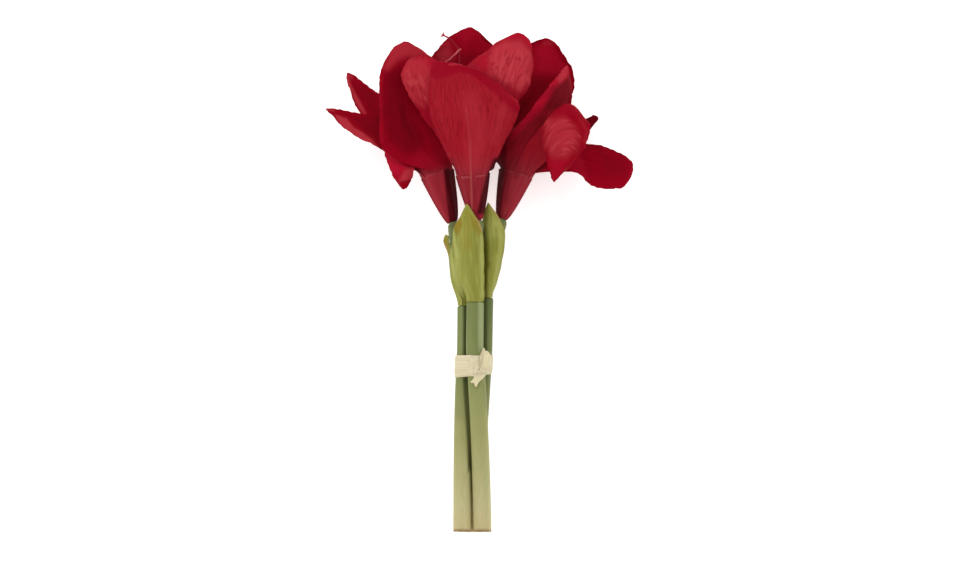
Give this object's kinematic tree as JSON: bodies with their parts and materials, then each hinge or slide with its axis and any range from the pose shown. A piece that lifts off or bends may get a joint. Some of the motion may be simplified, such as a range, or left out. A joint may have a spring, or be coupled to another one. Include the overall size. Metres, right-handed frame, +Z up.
{
  "type": "tied bunch of cut amaryllis blooms",
  "caption": "Hand-tied bunch of cut amaryllis lying on its back: thick pale scapes, green spathe bracts and wide trumpet blooms with layered, recurved tepals, bound with a flat fibre tie.",
  "frame": {"origin": "centre of the bounding box in X and Y, on the surface that the bunch lies on", "axes": "+Y runs along the stems from the cut ends to the blooms, +X to the bunch's right as the picture shows it, +Z up from the surface, which is the side that faces the picture's camera"},
  "size_m": [0.2772, 0.4554, 0.1273],
  "materials": {
    "petal": "living petal tissue, velvety deep red with a soft sheen and fine veins; mass as plant tissue near water's density",
    "scape": "living stem, smooth and waxy, pale green fading to cream at the cut end",
    "bract": "living papery spathe, satin yellow-green with fine lengthwise lines",
    "pedicel": "living flower stalk and ovary, satin green",
    "stamen": "living filaments, pink, with cream anthers",
    "raffia": "dry palm fibre, matt cream, finely ribbed along its length"
  },
  "bodies": {
    "root": {"stem_front": "scape", "stem_left": "scape", "stem_right": "scape", "bract_front_outer": "bract", "bract_front_inner": "bract", "bract_left_outer": "bract", "bract_left_inner": "bract", "bract_right_outer": "bract", "bract_right_inner": "bract", "pedicel_front": "pedicel", "pedicel_left": "pedicel", "pedicel_right": "pedicel", "bloom_centre": "petal", "bloom_left": "petal", "bloom_right": "petal", "stamens_centre": "stamen", "stamens_left": "stamen", "stamens_right": "stamen", "raffia_tie": "raffia"}
  },
  "joints": []
}
